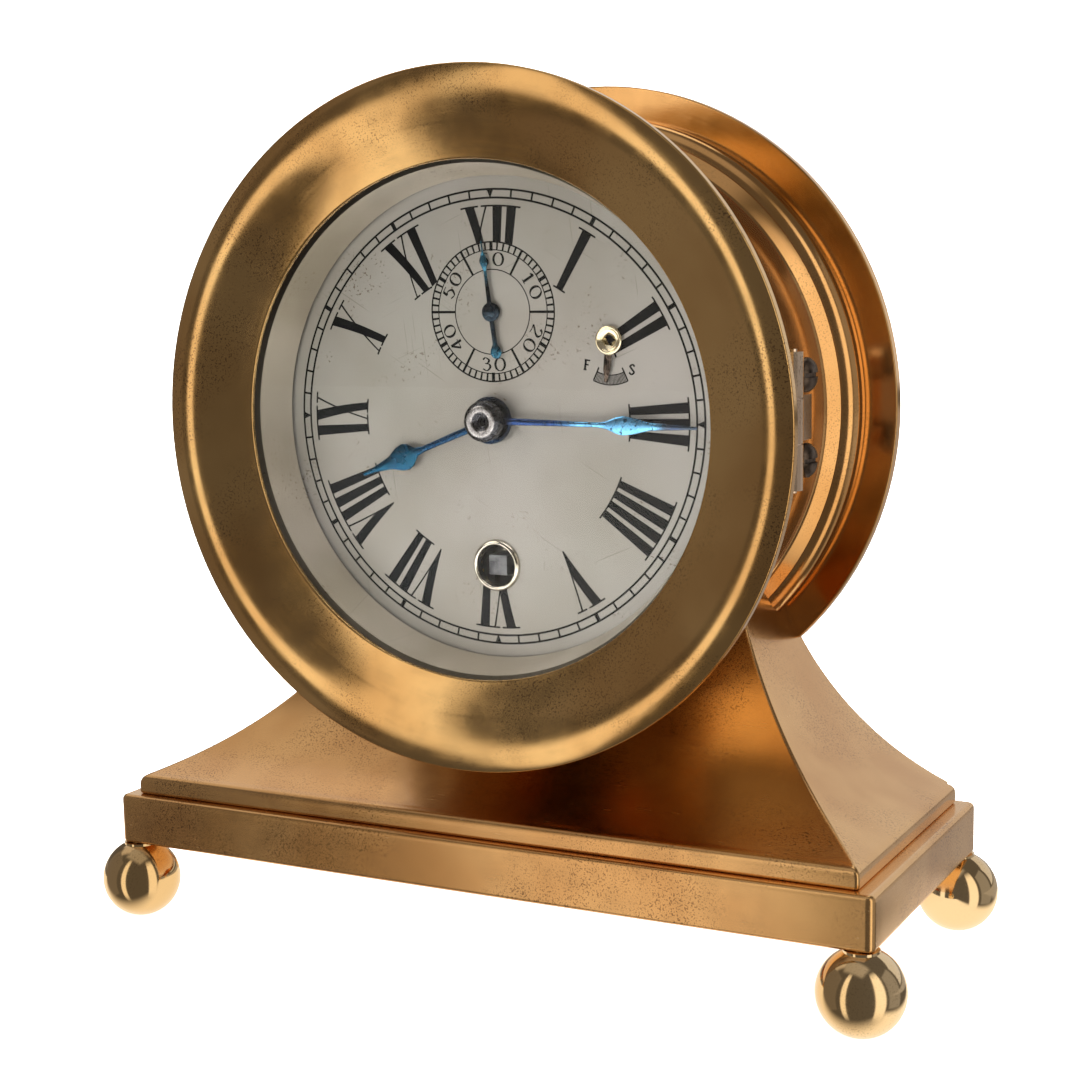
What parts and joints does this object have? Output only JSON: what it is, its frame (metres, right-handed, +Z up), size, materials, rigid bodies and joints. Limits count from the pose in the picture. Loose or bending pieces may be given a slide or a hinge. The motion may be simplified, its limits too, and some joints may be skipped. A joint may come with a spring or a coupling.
{
  "type": "marine clock",
  "caption": "Round brass marine clock with a hinged bezel, silvered dial, blued hands and a wound balance movement, fixed on a flared base with ball feet.",
  "frame": {"origin": "on the table, under the middle of the four ball feet", "axes": "+Z up, the dial faces -Y, +X is to the right seen from the front"},
  "size_m": [0.1786, 0.0804, 0.1769],
  "materials": {
    "satin_brass": "satin, lacquered, finely speckled",
    "polished_brass": "polished",
    "ball_brass": "mirror polished",
    "movement_brass": "brushed",
    "silvered_brass": "silvered brass, fine brushed grain",
    "steel": "bright steel",
    "dark_steel": "dark oxidised steel",
    "blued_steel": "heat blued",
    "nickel": "polished nickel",
    "clear_glass": "clear, flat"
  },
  "bodies": {
    "case": {"base_plinth": "satin_brass", "base_pedestal": "satin_brass", "foot_front_left": "ball_brass", "foot_front_right": "ball_brass", "foot_rear_left": "ball_brass", "foot_rear_right": "ball_brass", "base_screw_left": "steel", "base_screw_right": "steel", "case_screw_left": "steel", "case_screw_right": "steel", "case_body": "polished_brass", "rear_cover": "polished_brass", "rear_screw_1": "dark_steel", "rear_screw_2": "dark_steel", "rear_screw_3": "dark_steel", "latch_spring": "steel", "hinge_leaf_case": "polished_brass", "hinge_pin": "steel", "hinge_screw_upper": "dark_steel", "hinge_screw_lower": "dark_steel", "front_plate": "movement_brass", "back_plate": "movement_brass", "pillar_1": "movement_brass", "pillar_2": "movement_brass", "pillar_3": "movement_brass", "pillar_4": "movement_brass", "seat_screw_1": "dark_steel", "seat_screw_2": "dark_steel", "click_spring": "blued_steel", "hairspring": "blued_steel", "balance_cock": "movement_brass", "cock_screw": "dark_steel", "dial": "silvered_brass", "winding_collet": "nickel"},
    "bezel_door": {"bezel": "satin_brass", "glass": "clear_glass", "reflector_ring": "silvered_brass", "hinge_leaf_bezel": "polished_brass"},
    "minute_group": {"cannon_pinion": "steel", "minute_hand": "blued_steel", "hand_nut": "dark_steel"},
    "minute_wheel_group": {"minute_wheel": "movement_brass"},
    "hour_group": {"hour_wheel": "movement_brass", "hour_hand": "blued_steel"},
    "barrel_group": {"barrel": "movement_brass", "barrel_cap": "movement_brass", "mainspring": "steel"},
    "winding_group": {"barrel_arbor": "steel", "ratchet_wheel": "steel"},
    "click_group": {"click": "steel"},
    "intermediate_group": {"intermediate_wheel": "movement_brass"},
    "centre_group": {"centre_wheel": "movement_brass"},
    "third_group": {"third_wheel": "movement_brass"},
    "fourth_group": {"fourth_wheel": "movement_brass", "seconds_hand": "blued_steel"},
    "escape_group": {"escape_wheel": "movement_brass"},
    "pallet_group": {"pallet_lever": "steel"},
    "balance_group": {"balance_wheel": "movement_brass"},
    "regulator_group": {"regulator_arbor": "movement_brass"},
    "index_group": {"regulator_index": "steel"}
  },
  "joints": [
    {"name": "bezel_hinge", "type": "hinge", "parent": "case", "child": "bezel_door", "pos_m": [0.0579, -0.0044, 0.1081], "axis": [0, 0, 1], "range_deg": [0, 115]},
    {"name": "minute_hand_turn", "type": "hinge", "parent": "case", "child": "minute_group", "pos_m": [0, 0, 0.1081], "axis": [0, 1, 0], "continuous": true},
    {"name": "minute_wheel_turn", "type": "hinge", "parent": "case", "child": "minute_wheel_group", "pos_m": [-0.0094, 0, 0.10468], "axis": [0, 1, 0], "continuous": true},
    {"name": "hour_hand_turn", "type": "hinge", "parent": "case", "child": "hour_group", "pos_m": [0, 0, 0.1081], "axis": [0, 1, 0], "continuous": true},
    {"name": "fourth_wheel_turn", "type": "hinge", "parent": "case", "child": "fourth_group", "pos_m": [0, 0, 0.1293], "axis": [0, 1, 0], "continuous": true},
    {"name": "third_wheel_turn", "type": "hinge", "parent": "case", "child": "third_group", "pos_m": [-0.01277, 0, 0.11933], "axis": [0, 1, 0], "continuous": true},
    {"name": "centre_wheel_turn", "type": "hinge", "parent": "case", "child": "centre_group", "pos_m": [0, 0, 0.1081], "axis": [0, 1, 0], "continuous": true},
    {"name": "intermediate_wheel_turn", "type": "hinge", "parent": "case", "child": "intermediate_group", "pos_m": [0.01114, 0, 0.0946], "axis": [0, 1, 0], "continuous": true},
    {"name": "barrel_turn", "type": "hinge", "parent": "case", "child": "barrel_group", "pos_m": [0, 0, 0.0789], "axis": [0, 1, 0], "continuous": true},
    {"name": "escape_wheel_turn", "type": "hinge", "parent": "case", "child": "escape_group", "pos_m": [0.01286, 0, 0.12462], "axis": [0, 1, 0], "continuous": true},
    {"name": "winding_turn", "type": "hinge", "parent": "case", "child": "winding_group", "pos_m": [0, 0, 0.0789], "axis": [0, 1, 0], "continuous": true},
    {"name": "click_pivot", "type": "hinge", "parent": "case", "child": "click_group", "pos_m": [-0.01241, 0, 0.08109], "axis": [0, 1, 0], "range_deg": [-8, 8]},
    {"name": "pallet_pivot", "type": "hinge", "parent": "case", "child": "pallet_group", "pos_m": [0.0186, 0, 0.12944], "axis": [0, 1, 0], "range_deg": [-4, 4]},
    {"name": "balance_swing", "type": "hinge", "parent": "case", "child": "balance_group", "pos_m": [0.02595, 0, 0.13561], "axis": [0, 1, 0], "range_deg": [-150, 150]},
    {"name": "regulator_turn", "type": "hinge", "parent": "case", "child": "regulator_group", "pos_m": [0.0255, 0, 0.1239], "axis": [0, 1, 0], "range_deg": [-26, 14]},
    {"name": "index_turn", "type": "hinge", "parent": "case", "child": "index_group", "pos_m": [0.02595, 0, 0.13561], "axis": [0, 1, 0], "range_deg": [-6.5, 11.5]}
  ],
  "couplings": [
    {"joint": "minute_wheel_turn", "follows": "minute_hand_turn", "ratio": -0.33333},
    {"joint": "hour_hand_turn", "follows": "minute_hand_turn", "ratio": 0.083333},
    {"joint": "third_wheel_turn", "follows": "fourth_wheel_turn", "ratio": -0.125},
    {"joint": "centre_wheel_turn", "follows": "fourth_wheel_turn", "ratio": 0.016667},
    {"joint": "intermediate_wheel_turn", "follows": "fourth_wheel_turn", "ratio": -0.0027778},
    {"joint": "barrel_turn", "follows": "fourth_wheel_turn", "ratio": 0.00046296},
    {"joint": "escape_wheel_turn", "follows": "fourth_wheel_turn", "ratio": -8},
    {"joint": "index_turn", "follows": "regulator_turn", "ratio": -0.4186}
  ]
}
